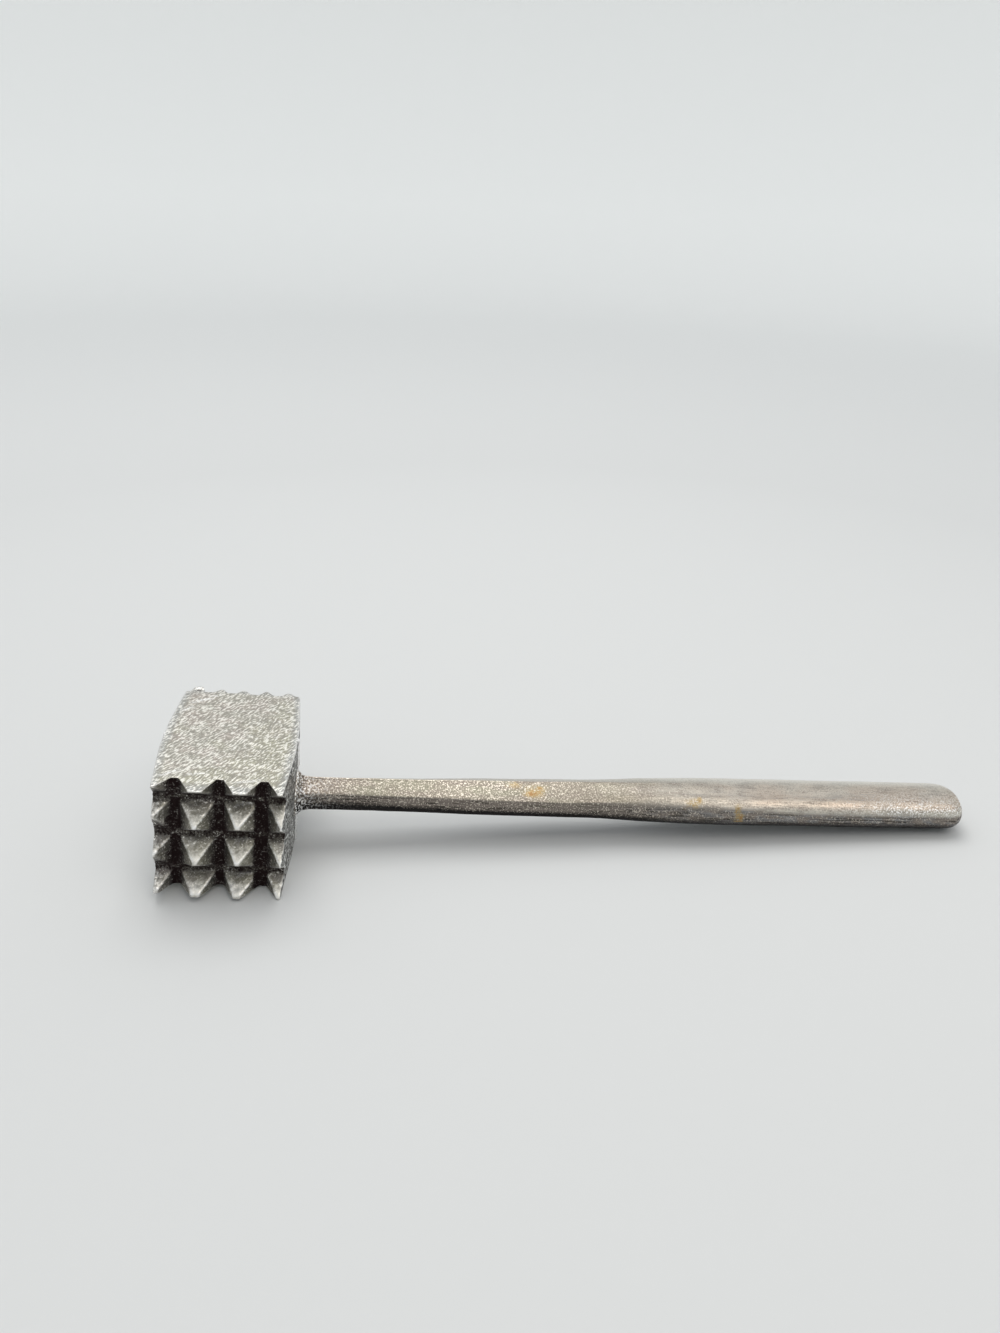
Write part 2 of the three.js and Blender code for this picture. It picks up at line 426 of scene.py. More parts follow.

# Painted shade darkens the sides of the teeth that turn aside or down
turned_aside = smooth_step(np.abs(head_facing[:, 0]), 0.35, 0.75)
turned_down = smooth_step(-head_facing[:, 2], 0.2, 0.7)
greasy = toothed * np.clip(0.30 * turned_aside + 0.7 * turned_down, 0, 1)
greasy = np.clip(eased(greasy[:, None], head_edges, 1)[:, 0], 0, 1)

# Pits line the end's upper edge beside the coarse teeth
pitted = (side_share == 1) * ridge(flat_up, 18.3, 0.9) * smooth_step(deep, -6, -12)

# The flat sides are cooler towards their edges, which are worn bright, and carry a few scuffs
to_left_right = head_width / 2 - np.abs(flat_across)
to_front_back = np.minimum(deep - front_face.min(), back_face.max() - deep)
border = 1 - smooth_step(np.minimum(to_left_right / border_across, to_front_back / border_deep), 0.1, 1.0)
border *= smooth_step(np.abs(head_facing[:, 2]), 0.7, 0.95)
side_edges = ridge(to_left_right, 0, bright_edge_width) * (np.abs(up_share) == 1)
side_edges *= np.maximum(flat_across < 0, smooth_step(deep, -12, -6))
edge_wear = np.maximum(edge_wear, 0.8 * side_edges) * (1 - 0.4 * burr_reach)
scuffed = np.zeros(len(head_points))
for left, front, right, back, half_width in scuffs:
    run = np.array([right - left, back - front])
    from_start = head_points[:, :2] - (left, front)
    share = np.clip(from_start @ run / (run @ run), 0, 1)
    apart = np.linalg.norm(from_start - share[:, None] * run, axis=1)
    scuffed = np.maximum(scuffed, ridge(apart, 0, half_width) * (head_facing[:, 2] > 0.5))

head = metal_skin(
    "head_casting",
    head_points,
    head_quads,
    edge_wear=edge_wear,
    border=border,
    scuffed=scuffed,
    flash=on_end * on_flash,
    groove_depth=groove_depth,
    dirty=dirty,
    pitted=pitted,
    greasy=greasy,
    toothed=toothed,
    flash_foot=on_end * flash_foot,
    end_face=end_share * np.where(side_share > 0, 1.0, 0.5),
    end_grain=end_grain,
    olive=smooth_step(flat_across - 0.6 * deep, -8, 22),
    chipped=chipped,
)


def node(tree, kind, inputs=(), **settings):
    """One shader node. Its inputs are given by name or number, as a value or as another node's output."""
    made = tree.nodes.new("ShaderNode" + kind)
    for name, value in settings.items():
        setattr(made, name, value)
    for name, value in dict(inputs).items():
        if isinstance(value, bpy.types.NodeSocket):
            tree.links.new(value, made.inputs[name])
        else:
            made.inputs[name].default_value = value
    return made


def trait(tree, name):
    """A trait kept at the points of the piece."""
    return node(tree, "Attribute", attribute_name=name).outputs["Fac"]


def speckle(tree, place, size_mm, detail=2.0, roughness=0.5, distortion=0.0):
    """Unevenness of the metal in lumps of about that size, from 0 to 1."""
    inputs = {
        "Vector": place,
        "Scale": 1000 / size_mm,
        "Detail": detail,
        "Roughness": roughness,
        "Distortion": distortion,
    }
    return node(tree, "TexNoise", inputs).outputs["Fac"]


def between(tree, value, low, high, to_low=0.0, to_high=1.0):
    """A value stretched from one range to another, and held at its ends."""
    inputs = {"Value": value, 1: low, 2: high, 3: to_low, 4: to_high}
    return node(tree, "MapRange", inputs).outputs[0]


def sums(tree, how, first, second):
    """Two values added, multiplied, or the larger or smaller of them."""
    return node(tree, "Math", {0: first, 1: second}, operation=how).outputs[0]


def colour_over(tree, share, under, over):
    """One colour laid over another by a share."""
    inputs = {0: share, 6: under, 7: over}
    return node(tree, "Mix", inputs, data_type="RGBA").outputs[2]


def metal_finish(name):
    """An empty metal material, its tree, its shader and the place on the piece, in metres."""
    material = bpy.data.materials.new(name)
    material.use_nodes = True
    tree = material.node_tree
    tree.nodes.clear()
    shader = node(tree, "BsdfPrincipled")
    output = node(tree, "OutputMaterial", {"Surface": shader.outputs["BSDF"]})
    output.is_active_output = True
    place = node(tree, "TexCoord").outputs["Object"]
    return material, tree, shader, place


def stretched(tree, place, axis, degrees, stretch_x, stretch_y, stretch_z):
    """The place on the piece turned about an axis and drawn out, so that marks run in one direction."""
    inputs = {"Vector": place, "Angle": math.radians(degrees)}
    turned = node(tree, "VectorRotate", inputs, rotation_type=axis).outputs[0]
    scales = (1 / stretch_x, 1 / stretch_y, 1 / stretch_z)
    return node(tree, "Mapping", {"Vector": turned, "Scale": scales}).outputs[0]


cast_grey = (0.435, 0.415, 0.358, 1)
cool_border = (0.395, 0.405, 0.40, 1)
pale_grain = (0.86, 0.84, 0.78, 1)
dull_grain = (0.31, 0.295, 0.26, 1)
pink_tint = (0.455, 0.395, 0.35, 1)
green_tint = (0.415, 0.402, 0.305, 1)
end_grey = (0.19, 0.188, 0.18, 1)
end_white = (0.96, 0.96, 0.95, 1)
dark_pit = (0.02, 0.018, 0.018, 1)
grime = (0.105, 0.095, 0.09, 1)
bare_edge = (0.95, 0.94, 0.92, 1)
old_dirt = (0.014, 0.008, 0.008, 1)

# Cast skin: short strokes that lie one way, over slow changes of colour, cooler at the borders
head_metal, tree, shader, place = metal_finish("head_cast_aluminium")
shader.inputs["Specular IOR Level"].default_value = 0.05
on_teeth = trait(tree, "toothed")
on_ends = trait(tree, "end_face")
broken = trait(tree, "chipped")
calm = between(tree, on_teeth, 0, 1, 1.0, 0.35)
stroke_turn = -58
stroke_stretch = 3.0
along_strokes = stretched(tree, place, "Z_AXIS", stroke_turn, stroke_stretch, 1, 1)
strokes = speckle(tree, along_strokes, 0.56, 1.5, 0.5, 0.2)
fine_grain = speckle(tree, place, 0.55, 2.0, 0.6)
blotch = speckle(tree, place, 8.0, 3.0, 0.6)
hue = speckle(tree, place, 11.0, 2.0, 0.5)
colour = colour_over(tree, between(tree, blotch, 0.44, 0.60, 0, 0.85), cast_grey, pink_tint)
olive_share = sums(tree, "ADD", trait(tree, "olive"), between(tree, hue, 0.35, 0.65, -0.5, 0.5))
colour = colour_over(tree, between(tree, olive_share, 0.2, 0.9, 0, 0.85), colour, green_tint)
border_share = sums(tree, "ADD", trait(tree, "border"), between(tree, blotch, 0.3, 0.7, -0.25, 0.25))
colour = colour_over(tree, between(tree, border_share, 0.1, 0.9, 0, 0.9), colour, cool_border)
dull_strokes = sums(tree, "MULTIPLY", between(tree, strokes, 0.49, 0.41, 0, 0.75), calm)
colour = colour_over(tree, dull_strokes, colour, dull_grain)
pale_strokes = sums(tree, "MULTIPLY", between(tree, strokes, 0.52, 0.59, 0, 0.85), calm)
colour = colour_over(tree, pale_strokes, colour, pale_grain)
colour = colour_over(tree, between(tree, fine_grain, 0.60, 0.70, 0, 0.6), colour, pale_grain)
scuff_share = sums(tree, "MULTIPLY", trait(tree, "scuffed"), between(tree, fine_grain, 0.40, 0.55))
colour = colour_over(tree, scuff_share, colour, bare_edge)

# The rough ends and the chipped teeth: bright flecks and black pits side by side
end_stretch = 1.6
end_place = stretched(tree, place, "X_AXIS", 0, 1, end_stretch, 1)
end_speckle = speckle(tree, end_place, 0.9, 3.0, 0.62)
rough_places = sums(tree, "MAXIMUM", on_ends, sums(tree, "MULTIPLY", broken, 0.7))
standing_grains = between(tree, trait(tree, "end_grain"), -0.2, 0.1, 0.45, 1.0)
rough_places = sums(tree, "MULTIPLY", rough_places, standing_grains)
end_flecks = sums(tree, "MULTIPLY", between(tree, end_speckle, 0.525, 0.60), rough_places)
pit_depth = sums(tree, "SUBTRACT", end_speckle, sums(tree, "MULTIPLY", trait(tree, "pitted"), 0.12))
end_pits = sums(tree, "MULTIPLY", between(tree, pit_depth, 0.49, 0.43, 0, 0.85), rough_places)
colour = colour_over(tree, sums(tree, "MULTIPLY", on_ends, 0.9), colour, end_grey)
colour = colour_over(tree, end_flecks, colour, end_white)
colour = colour_over(tree, end_pits, colour, dark_pit)

# The line of flash is bare and bright, between two dark furrows
footed = between(tree, trait(tree, "flash_foot"), 0.2, 0.9, 0, 0.8)
footed = sums(tree, "MULTIPLY", footed, between(tree, fine_grain, 0.62, 0.45, 0.35, 1.0))
colour = colour_over(tree, footed, colour, dark_pit)
pitted_share = sums(tree, "MAXIMUM", end_pits, footed)
fin = between(tree, trait(tree, "flash"), 0.06, 0.35)
colour = colour_over(tree, fin, colour, end_white)

# Grime and painted shade thin from the grooves up to the tips, which are rubbed pale, and the painted shade
# on the turned faces adds to them
mottle = speckle(tree, place, 1.8, 3.0, 0.7)
unevenly = between(tree, blotch, 0.3, 0.7, -0.12, 0.12)
unevenly = sums(tree, "ADD", unevenly, between(tree, mottle, 0.35, 0.65, 0.18, -0.18))
soiled = sums(tree, "ADD", trait(tree, "groove_depth"), unevenly)
film = sums(tree, "ADD", between(tree, soiled, 0.15, 0.95, 0.0, 0.66), trait(tree, "greasy"))
film = sums(tree, "MULTIPLY", sums(tree, "MINIMUM", film, 0.93), on_teeth)
colour = colour_over(tree, film, colour, grime)
rubbed = sums(tree, "MULTIPLY", between(tree, film, 0.40, 0.0, 0, 0.75), on_teeth)
colour = colour_over(tree, rubbed, colour, pale_grain)
flecks = between(tree, speckle(tree, place, 0.6, 1.5, 0.5), 0.585, 0.65, 0, 0.9)
flecks = sums(tree, "MULTIPLY", flecks, between(tree, mottle, 0.42, 0.56, 0.15, 1.0))
colour = colour_over(tree, sums(tree, "MULTIPLY", flecks, on_teeth), colour, pale_grain)

# Edges and tips are worn bright in patches, and old dirt with painted shade lies deepest in the grooves
patchy = between(tree, mottle, 0.38, 0.58, 0.3, 1.0)
wear = sums(tree, "MULTIPLY", trait(tree, "edge_wear"), between(tree, soiled, 0.85, 0.2, 0.1, 0.95))
wear = sums(tree, "MULTIPLY", wear, patchy)
colour = colour_over(tree, wear, colour, bare_edge)
dirt = sums(tree, "ADD", trait(tree, "dirty"), between(tree, fine_grain, 0.3, 0.7, -0.22, 0.22))
dirt = sums(tree, "ADD", dirt, between(tree, mottle, 0.3, 0.7, 0.16, -0.16))
dirt = between(tree, dirt, 0.2, 0.85)
dirt = sums(tree, "SUBTRACT", dirt, sums(tree, "MULTIPLY", flecks, 0.18))
colour = colour_over(tree, dirt, colour, old_dirt)
tree.links.new(colour, shader.inputs["Base Color"])

# Dirt, painted shade and pits don't shine as metal does, worn metal is smoother, and the grain stands up a
# little
unbare = sums(tree, "MAXIMUM", dirt, sums(tree, "MAXIMUM", sums(tree, "MULTIPLY", fin, 0.5), pitted_share))
tree.links.new(between(tree, unbare, 0.0, 1.0, 0.92, 0.0), shader.inputs["Metallic"])
grain_roughness = between(tree, fine_grain, 0.35, 0.70, 0.50, 0.34)
worn_roughness = sums(tree, "SUBTRACT", grain_roughness, sums(tree, "MULTIPLY", wear, 0.14))
head_roughness = sums(tree, "ADD", worn_roughness, sums(tree, "MULTIPLY", dirt, 0.35))
tree.links.new(head_roughness, shader.inputs["Roughness"])
relief_height = sums(tree, "MULTIPLY", strokes, calm)
relief_height = sums(tree, "ADD", relief_height, sums(tree, "MULTIPLY", fine_grain, 0.5))
relief_height = sums(tree, "ADD", relief_height, sums(tree, "MULTIPLY", end_speckle, rough_places))
head_bump_height = 0.00018
bump = node(tree, "Bump", {"Strength": 0.7, "Distance": head_bump_height, "Height": relief_height})
tree.links.new(bump.outputs["Normal"], shader.inputs["Normal"])

head.data.materials.append(head_metal)
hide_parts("head")
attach(head, "root")

# Handle
# One bar of the same metal: six flats beside the head, growing into an oval grip polished by hands. Its root
# runs into the head's end through a small fillet, and the seam of the mould shows along its top and bottom.
handle_length = 236.5
handle_start = 21.4
buried = 0.7
neck_width = 10.4
waist_width = 15.0
grip_width = 20.6
neck_thickness = 12.4
grip_thickness = 14.1
flat_height = 5.9
waist_from = 10
waist_at = 90
oval_from = 88
oval_at = 123
grip_from = 95
grip_at = 150
neck_roundness = 0.08
fillet_height = 1.7
fillet_length = 6.0
root_bead = 0.8
root_bead_length = 0.6
round_far = 11.0
round_near = 6.0
round_thick = 7.0
end_flat = 0.3
root_drop = 0.9
handle_rise = 7.1
free_dome = 0.35
seam_height = 0.10
seam_height_at_root = 0.25
seam_half_width = 0.35
bar_grain_height = 0.018
root_grain_height = 0.06
bar_ripple_height = 0.05
bar_swell_height = 0.12
ring_points = 132
ring_step = 0.5
turning_rings = 45
free_rings_inward = 9
root_rings_inward = 4

# Golden-brown stains: distance along the handle, place across it, half length, half width and strength
stains = (
    (79.8, -3.7, 3.3, 2.0, 0.7),
    (78.6, -4.6, 1.7, 1.1, 1.15),
    (81.6, -2.7, 1.7, 1.0, 0.9),
    (73.0, -1.6, 2.6, 1.3, 0.5),
    (135.2, -7.9, 2.6, 1.0, 0.75),
    (137.0, -7.1, 1.2, 0.8, 0.75),
    (150.6, -9.4, 1.5, 1.0, 0.85),
    (151.4, -10.4, 1.3, 0.8, 1.0),
)


def end_rounding(along, radius):
    """The share of the section that is left close to the free end."""
    past = np.clip((along - (handle_length - radius)) / radius, 0, 1)
    return end_flat + (1 - end_flat) * np.sqrt(1 - past * past)


def handle_skin(along, side):
    """Points of the handle's surface. Side counts the six flats from the back upper corner."""
    fillet = fillet_height * np.clip(1 - along / fillet_length, 0, 1.1) ** 3
    fillet = fillet + root_bead * np.exp(-np.maximum(along, 0) / root_bead_length)
    width = neck_width + (waist_width - neck_width) * smooth_step(along, waist_from, waist_at)
    width = width + (grip_width - waist_width) * smooth_step(along, grip_from, grip_at)
    thickness = neck_thickness + (grip_thickness - neck_thickness) * smooth_step(along, waist_from, grip_at)
    half_width = width / 2 + fillet
    half_thickness = thickness / 2 + fillet
    half_flat = (flat_height + fillet) / 2
    zero = np.zeros_like(half_width)
    corners_y = np.stack([half_width, zero, -half_width, -half_width, zero, half_width])
    corners_z = np.stack([half_flat, half_thickness, half_flat, -half_flat, -half_thickness, -half_flat])
    whole = np.floor(side).astype(int) % 6
    part = side - np.floor(side)
    pick = np.arange(len(half_width))
    flat_y = corners_y[whole, pick] * (1 - part) + corners_y[(whole + 1) % 6, pick] * part
    flat_z = corners_z[whole, pick] * (1 - part) + corners_z[(whole + 1) % 6, pick] * part
    angle = np.radians(30 + 60 * side)
    oval = neck_roundness + (1 - neck_roundness) * smooth_step(along, oval_from, oval_at)
    y = flat_y * (1 - oval) + half_width * np.cos(angle) * oval
    z = flat_z * (1 - oval) + half_thickness * np.sin(angle) * oval
    y = y * np.where(y > 0, end_rounding(along, round_far), end_rounding(along, round_near))
    z = z * end_rounding(along, round_thick)
    z = z - root_drop + handle_rise * along / handle_length
    return np.stack([handle_start + along, y, z], 1)


def closing_rings(rim, steps, dome):
    """Ever smaller rings that close an end, with a slight dome along the bar, and the last middle point."""
    middle = rim.mean(0)
    rings = []
    for step in range(1, steps):
        share = 1 - step / steps
        ring = middle + (rim - middle) * share
        ring[:, 0] += dome * (1 - share * share)
        rings.append(ring)
    return rings, middle + np.array([dome, 0, 0])


straight_rings = np.arange(-buried, handle_length - round_far, ring_step)
turning = np.linspace(0, math.pi / 2, turning_rings)
ring_along = np.concatenate([straight_rings, handle_length - round_far * (1 - np.sin(turning))])
ring_side = np.arange(ring_points) * 6 / ring_points
bar_points = handle_skin(np.repeat(ring_along, ring_points), np.tile(ring_side, len(ring_along)))
free_rings, free_pole = closing_rings(bar_points[-ring_points:], free_rings_inward, free_dome)
root_rings, root_pole = closing_rings(bar_points[:ring_points], root_rings_inward, 0.0)
rings = root_rings[::-1] + [bar_points] + free_rings
handle_points = np.vstack(rings + [root_pole[None], free_pole[None]])

# Quads join each ring to the next, and a fan of quads closes each end
this_point = np.arange(ring_points)
next_point = (this_point + 1) % ring_points
ring_count = len(ring_along) + len(root_rings) + len(free_rings)
handle_quads = []
for ring in range(ring_count - 1):
    here = ring * ring_points
    there = here + ring_points
    corners = (here + this_point, here + next_point, there + next_point, there + this_point)
    handle_quads.append(np.stack(corners, 1))
fan_from = this_point[::2]
fan_middle = fan_from + 1
fan_to = (fan_from + 2) % ring_points
root_pole_at = np.full_like(fan_from, ring_count * ring_points)
last_ring = (ring_count - 1) * ring_points
free_rim = (last_ring + fan_from, last_ring + fan_middle, last_ring + fan_to)
handle_quads.append(np.stack([root_pole_at, fan_to, fan_middle, fan_from], 1))
handle_quads.append(np.stack([root_pole_at + 1, *free_rim], 1))
handle_quads = np.vstack(handle_quads)
handle_edges = edges_of(handle_quads)

# The mould's seam along the top and the bottom, then the casting's grain and the dents of use
along = handle_points[:, 0] - handle_start
handle_facing = outward(handle_points, handle_quads)
seam = seam_height + seam_height_at_root * np.exp(-np.maximum(along, 0) / 12)
seam = seam * (1 - smooth_step(along, 150, 220))
seam = seam * ridge(handle_points[:, 1], 0, seam_half_width) * (1 + 0.4 * lumps(handle_points, 2.5, 41))
near_root = np.exp(-np.maximum(along, 0) / 5)
grain_here = bar_grain_height + root_grain_height * near_root
handle_relief = seam + grain_here * lumps(handle_points, 0.9, 43)
handle_relief += bar_ripple_height * lumps(handle_points, 5.0, 47)
handle_relief += bar_swell_height * lumps(handle_points, 17.0, 53)
handle_points = eased(handle_points, handle_edges, 3) + handle_relief[:, None] * handle_facing

# Patina and painted shade keep to the flats that face forwards or down, and to a dull band painted over them
# to dim their shine; the upper side is left pale
upward = handle_facing[:, 2] + 0.6 * np.maximum(handle_facing[:, 1], 0)
upward -= 0.24 * ridge(along, 140, 25)
patina = 1 - smooth_step(upward, 0.10, 0.62)
dull_band = ridge(handle_facing[:, 2], 0.90, 0.07) * (handle_facing[:, 1] < 0)
patina = np.maximum(patina, 0.36 * dull_band * smooth_step(along, 95, 120) * smooth_step(along, 220, 200))
centre_height = handle_rise * along / handle_length - root_drop
below_middle = (centre_height - handle_points[:, 2]) / (grip_thickness / 2)
waist = smooth_step(along, 50, 85) * smooth_step(along, 118, 95)
patina *= 1 - 0.35 * waist * smooth_step(below_middle, 0.15, -0.35)

# Painted shade: the bar darkens to black from its middle height down and on the faces turned down
dark_from = -0.30 + 0.30 * smooth_step(along, 10, 60)
dark_to = 0.33 + 0.35 * smooth_step(along, 90, 135)
underside = smooth_step(below_middle, dark_from, dark_to)
underside = np.maximum(underside, smooth_step(-handle_facing[:, 2], 0.15, 0.8))

# A painted highlight keeps the crest along the back pale, a painted warm sheen lies on the front shoulder,
# and painted glints on the tip
crest = smooth_step(handle_facing[:, 1], -0.1, 0.35) * smooth_step(handle_facing[:, 2], 0, 0.3)
crest *= 0.6 + 0.4 * smooth_step(along, 95, 130)
crest *= 1 - 0.8 * smooth_step(handle_facing[:, 1], 0.5, 0.8)
held = ridge(handle_facing[:, 2], 0.78, 0.13) * (handle_facing[:, 1] < 0)
glint_band = ridge(handle_facing[:, 2], 0.66, 0.26)
glint_band *= smooth_step(handle_facing[:, 1], 0.1, -0.3)
handle_wear = smooth_step(stands_proud(handle_points, handle_quads, handle_edges, 4), 0.02, 0.10)

# Each stain is a soft lobe whose outline wanders
wander_length = 0.9
wander_width = 0.45
rust = np.zeros(len(handle_points))
wander_along = along + wander_length * lumps(handle_points, 1.5, 59)
wander_across = handle_points[:, 1] + wander_width * lumps(handle_points, 1.3, 61)
for stain_along, stain_across, half_length, half_width, strength in stains:
    lengthwise = (wander_along - stain_along) / half_length
    crosswise = (wander_across - stain_across) / half_width
    stain = strength * np.exp(-(lengthwise**2) - crosswise**2)
    rust = np.maximum(rust, stain * (handle_facing[:, 2] > -0.35))

handle = metal_skin(
    "handle_casting",
    handle_points,
    handle_quads,
    patina=patina,
    underside=underside,
    edge_wear=handle_wear,
    rust=rust,
    held=held * smooth_step(along, 135, 185),
    smoother=smooth_step(along, 60, 125),
    crest=crest,
    root=near_root,
    blush=smooth_step(along, 26, 4),
    grip=smooth_step(along, 95, 160),
    tip=smooth_step(along, 180, 212) * glint_band,
)


pale_beige = (0.262, 0.234, 0.190, 1)
bright_fleck = (0.68, 0.62, 0.53, 1)
root_pink = (0.222, 0.178, 0.152, 1)
moss_tint = (0.258, 0.244, 0.188, 1)
grip_grey = (0.62, 0.59, 0.52, 1)
hand_warm = (0.55, 0.48, 0.405, 1)
held_warm = (0.72, 0.56, 0.43, 1)
brown_blotch = (0.22, 0.185, 0.16, 1)
brown_patina = (0.20, 0.172, 0.152, 1)
cool_patina = (0.20, 0.20, 0.205, 1)
under_black = (0.012, 0.011, 0.011, 1)
stain_gold = (0.38, 0.285, 0.14, 1)
stain_brown = (0.30, 0.17, 0.075, 1)

# Bare metal: pinkish by the root, beige and mossy on the neck, warm grey and finely scratched in the grip
handle_metal, tree, shader, place = metal_finish("handle_cast_aluminium")
shader.inputs["Specular IOR Level"].default_value = 0.05
in_grip = trait(tree, "grip")
even_grain = between(tree, trait(tree, "smoother"), 0, 1, 1.0, 0.55)
blotch_stretch = 2.5
scratch_stretch = 25
along_bar = stretched(tree, place, "Y_AXIS", -math.degrees(lean_angle), blotch_stretch, 1, 1)
along_scratch = stretched(tree, place, "Y_AXIS", -math.degrees(lean_angle), scratch_stretch, 1, 1)
fine_grain = speckle(tree, place, 0.5, 1.5, 0.5)
grain = speckle(tree, place, 1.2, 2.0, 0.65, 0.4)
blotch = speckle(tree, along_bar, 3.5, 3.0, 0.6)
hue = speckle(tree, along_bar, 7.0, 2.0, 0.5)
scratches = speckle(tree, along_scratch, 0.5, 2.0, 0.6)
neck_colour = colour_over(tree, between(tree, hue, 0.45, 0.65), pale_beige, moss_tint)
neck_colour = colour_over(tree, sums(tree, "MULTIPLY", trait(tree, "blush"), 0.75), neck_colour, root_pink)
grip_colour = colour_over(tree, between(tree, hue, 0.4, 0.6), grip_grey, hand_warm)
# A warm painted sheen on the grip's front shoulder
grip_colour = colour_over(tree, sums(tree, "MULTIPLY", trait(tree, "held"), 0.5), grip_colour, held_warm)
colour = colour_over(tree, in_grip, neck_colour, grip_colour)
colour = colour_over(tree, between(tree, blotch, 0.50, 0.36, 0, 0.5), colour, brown_blotch)
scratched = sums(tree, "MULTIPLY", between(tree, scratches, 0.46, 0.38, 0, 0.45), in_grip)
colour = colour_over(tree, scratched, colour, brown_blotch)
scored = sums(tree, "MULTIPLY", between(tree, scratches, 0.56, 0.66, 0, 0.3), in_grip)
colour = colour_over(tree, scored, colour, bright_fleck)

# Grain: brown in its hollows and bright where it stands, with a painted highlight along the crest
colour = colour_over(tree, between(tree, fine_grain, 0.47, 0.36, 0, 0.4), colour, brown_blotch)
pale_fleck = sums(tree, "MULTIPLY", between(tree, fine_grain, 0.53, 0.64, 0, 0.85), even_grain)
colour = colour_over(tree, pale_fleck, colour, bright_fleck)
colour = colour_over(tree, sums(tree, "MULTIPLY", trait(tree, "crest"), 0.65), colour, pale_grain)

# Patina with painted shade: brown on the neck, cooler in patches in the grip, streaked black along the
# scratches
patches = speckle(tree, along_bar, 2.2, 2.0, 0.5)
patina_colour = colour_over(tree, between(tree, patches, 0.42, 0.58), brown_patina, cool_patina)
patina_colour = colour_over(tree, in_grip, brown_patina, patina_colour)
patina_colour = colour_over(tree, between(tree, scratches, 0.51, 0.39, 0, 0.9), patina_colour, under_black)
patina_fleck = between(tree, fine_grain, 0.57, 0.66, 0, 0.75)
patina_fleck = sums(tree, "MULTIPLY", patina_fleck, between(tree, in_grip, 0, 1, 1.0, 0.65))
patina_colour = colour_over(tree, patina_fleck, patina_colour, bright_fleck)
uneven_edge = between(tree, scratches, 0.35, 0.65, -0.2, 0.2)
uneven_edge = sums(tree, "ADD", uneven_edge, between(tree, fine_grain, 0.35, 0.65, -0.15, 0.15))
patina_share = sums(tree, "ADD", trait(tree, "patina"), uneven_edge)
patina_share = between(tree, patina_share, 0.2, 0.8, 0, 0.92)
colour = colour_over(tree, patina_share, colour, patina_colour)
# Painted shade turns the lower part of the bar black
shaded = sums(tree, "ADD", trait(tree, "underside"), between(tree, fine_grain, 0.3, 0.7, 0.12, -0.12))
colour = colour_over(tree, between(tree, shaded, 0.05, 0.85, 0, 0.98), colour, under_black)

# Stains lie over the patina and painted shade, darker at their hearts, and the bright grain shows through
# them
stained = sums(tree, "MULTIPLY", trait(tree, "rust"), between(tree, grain, 0.35, 0.62, 0.5, 1.6))
stained = sums(tree, "SUBTRACT", stained, between(tree, fine_grain, 0.5, 0.66, 0, 0.3))
colour = colour_over(tree, between(tree, stained, 0.05, 0.7, 0, 0.85), colour, stain_gold)
colour = colour_over(tree, between(tree, stained, 0.6, 1.2, 0, 0.9), colour, stain_brown)

# The root is as flecked and pitted as the head's end, painted glints lie on the tip, and worn places are a
# little brighter
root_speckle = speckle(tree, place, 0.75, 2.0, 0.6)
root_flecks = sums(tree, "MULTIPLY", between(tree, root_speckle, 0.51, 0.57), trait(tree, "root"))
root_pits = sums(tree, "MULTIPLY", between(tree, root_speckle, 0.45, 0.39, 0, 0.7), trait(tree, "root"))
colour = colour_over(tree, root_flecks, colour, end_white)
colour = colour_over(tree, root_pits, colour, dark_pit)
# Painted glints on the tip
glints = sums(tree, "MULTIPLY", between(tree, fine_grain, 0.53, 0.61), trait(tree, "tip"))
glints = sums(tree, "MULTIPLY", glints, between(tree, shaded, 0.6, 0.1))
colour = colour_over(tree, glints, colour, bare_edge)
wear = between(tree, trait(tree, "edge_wear"), 0.2, 0.9, 0, 0.25)
colour = colour_over(tree, wear, colour, bright_fleck)
tree.links.new(colour, shader.inputs["Base Color"])

# The black of the painted shade shines less, the grip is smoother, and fine scratches run along it
tree.links.new(between(tree, shaded, 0.2, 0.9, 0.9, 0.2), shader.inputs["Metallic"])
rub = between(tree, scratches, 0.35, 0.65, 0.06, -0.06)
handle_roughness = between(tree, fine_grain, 0.35, 0.65, 0.47, 0.35)
handle_roughness = sums(tree, "SUBTRACT", handle_roughness, sums(tree, "MULTIPLY", in_grip, 0.05))
tree.links.new(sums(tree, "ADD", handle_roughness, rub), shader.inputs["Roughness"])
scratch_height = sums(tree, "MULTIPLY", scratches, between(tree, in_grip, 0, 1, 0.1, 0.4))
relief_height = sums(tree, "ADD", fine_grain, scratch_height)
handle_bump_height = 0.00012
bump = node(tree, "Bump", {"Strength": 0.5, "Distance": handle_bump_height, "Height": relief_height})
tree.links.new(bump.outputs["Normal"], shader.inputs["Normal"])

handle.data.materials.append(handle_metal)
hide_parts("handle")
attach(handle, "root")

# Floor and backdrop
# A plain pale sheet that runs from the floor up into a wall all round, so that every view ends in it.
sweep_radius = 1.5
cove_radius = 0.6
wall_height = 1.3
sheet_sides = 96
floor_rings = 24
cove_rings = 14
innermost_radius = 0.02
sheet_profile = [(radius, 0.0) for radius in np.linspace(innermost_radius, sweep_radius, floor_rings)]
for turn in np.linspace(0, math.pi / 2, cove_rings)[1:]:
    sheet_profile.append((sweep_radius + cove_radius * math.sin(turn), cove_radius * (1 - math.cos(turn))))
sheet_profile.append((sweep_radius + cove_radius, wall_height))
sheet_points = [(0.0, 0.0, 0.0)]
for radius, height in sheet_profile:
    for step in range(sheet_sides):
        angle = 2 * math.pi * step / sheet_sides
        sheet_points.append((radius * math.cos(angle), radius * math.sin(angle), height))
sheet_faces = []
for step in range(sheet_sides):
    following = (step + 1) % sheet_sides
    sheet_faces.append((0, 1 + step, 1 + following))
    for ring in range(len(sheet_profile) - 1):
        low = 1 + ring * sheet_sides
        high = low + sheet_sides
        sheet_faces.append((low + step, high + step, high + following, low + following))
